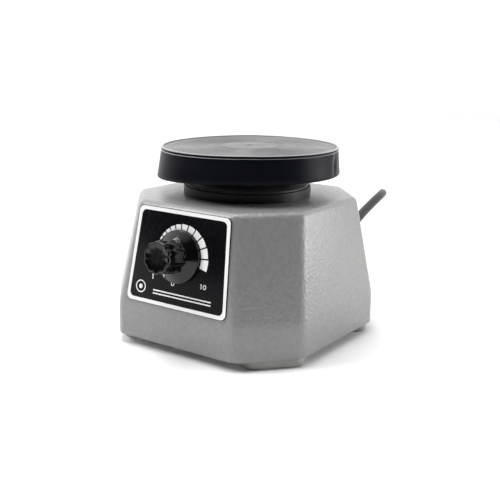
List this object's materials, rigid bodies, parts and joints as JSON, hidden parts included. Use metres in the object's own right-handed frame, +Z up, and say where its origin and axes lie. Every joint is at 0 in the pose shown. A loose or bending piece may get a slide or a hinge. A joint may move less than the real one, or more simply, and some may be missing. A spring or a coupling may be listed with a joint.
{
  "type": "vortex mixer",
  "caption": "Benchtop vortex mixer: tapered octagonal grey case on rubber feet, orbiting round rubber-topped platform, speed knob on a sloping front panel, mains lead at the back.",
  "frame": {"origin": "on the floor under the motor's axis, at the middle of the case", "axes": "+Z up along the motor's shaft, -Y towards the front panel and knob, +X to the right of a person facing the panel"},
  "size_m": [0.1784, 0.2757, 0.1069],
  "materials": {
    "case_grey": "grey hammertone enamel on cast aluminium, semi-gloss",
    "plate_steel": "zinc-plated sheet steel, dull",
    "foot_rubber": "dark greenish-grey moulded rubber, matt",
    "screw_zinc": "bright zinc-plated steel",
    "panel_black": "black printed panel with white artwork, semi-gloss",
    "collar_black": "black moulded plastic, satin",
    "boot_rubber": "black rubber, satin",
    "cover_rubber": "blue-black rubber with fine concentric rings, satin",
    "cast_alloy": "machined aluminium alloy",
    "bearing_steel": "ground bearing steel",
    "spring_steel": "blued spring steel",
    "shaft_steel": "ground steel",
    "lamination_steel": "stacked electrical steel with edge lines",
    "fan_plastic": "glass-filled nylon, dark",
    "copper_wire": "enamelled copper wire",
    "mount_rubber": "black rubber bush",
    "knob_black": "glossy black phenolic",
    "control_case": "dark moulded control body",
    "nut_brass": "nickel-plated brass",
    "board_green": "green circuit board with solder mask",
    "nylon_white": "white nylon",
    "device_black": "black epoxy package",
    "sink_alloy": "extruded aluminium",
    "film_yellow": "yellow film capacitor case",
    "lead_red": "red insulated wire",
    "lead_blue": "blue insulated wire",
    "lead_black": "black PVC sheath, satin",
    "gland_black": "black nylon, satin",
    "pin_brass": "plain brass"
  },
  "bodies": {
    "base": {"housing": "case_grey", "base_plate": "plate_steel", "feet": "foot_rubber", "foot_screws": "screw_zinc", "front_panel": "panel_black", "collar": "collar_black", "collar_screws": "screw_zinc", "neck_boot": "boot_rubber", "stator_core": "lamination_steel", "stator_windings": "copper_wire", "lower_bracket": "cast_alloy", "upper_bracket": "cast_alloy", "lower_bearing": "bearing_steel", "upper_bearing": "bearing_steel", "motor_studs": "screw_zinc", "motor_nuts": "screw_zinc", "motor_spacers": "shaft_steel", "motor_mounts": "mount_rubber", "control_body": "control_case", "control_nut": "nut_brass", "speed_board": "board_green", "board_spacers": "nylon_white", "board_screws": "screw_zinc", "triac": "device_black", "heat_sink": "sink_alloy", "capacitor": "film_yellow", "choke": "copper_wire", "terminal_block": "nylon_white", "earth_terminal": "nut_brass", "mains_tail": "lead_black", "motor_leads": "lead_red", "control_leads": "lead_blue", "strain_relief": "gland_black", "gland_nut": "gland_black", "cord": "lead_black", "cord_coil": "lead_black", "cord_tail": "lead_black", "cord_tie": "gland_black", "plug_body": "lead_black", "plug_pins": "pin_brass"},
    "drive": {"drive_shaft": "shaft_steel", "rotor_core": "lamination_steel", "cooling_fan": "fan_plastic", "crank_hub": "cast_alloy", "crank_pin": "shaft_steel", "crank_screw": "spring_steel"},
    "platform": {"platform_hub": "cast_alloy", "platform_disc": "cast_alloy", "hub_screws": "screw_zinc", "rubber_cover": "cover_rubber", "platform_bearings": "bearing_steel", "bearing_clip": "spring_steel"},
    "knob": {"knob": "knob_black", "knob_screw": "screw_zinc", "control_shaft": "shaft_steel"}
  },
  "joints": [
    {"name": "drive_spin", "type": "hinge", "parent": "base", "child": "drive", "pos_m": [0, 0, 0.03], "axis": [0, 0, 1], "continuous": true},
    {"name": "platform_counter", "type": "hinge", "parent": "drive", "child": "platform", "pos_m": [0, 0.002, 0.08], "axis": [0, 0, 1], "continuous": true},
    {"name": "knob_turn", "type": "hinge", "parent": "base", "child": "knob", "pos_m": [0, -0.06032, 0.05383], "axis": [0, -0.9851, 0.172], "range_deg": [-270, 0]}
  ],
  "couplings": [
    {"joint": "platform_counter", "follows": "drive_spin", "ratio": -1}
  ]
}
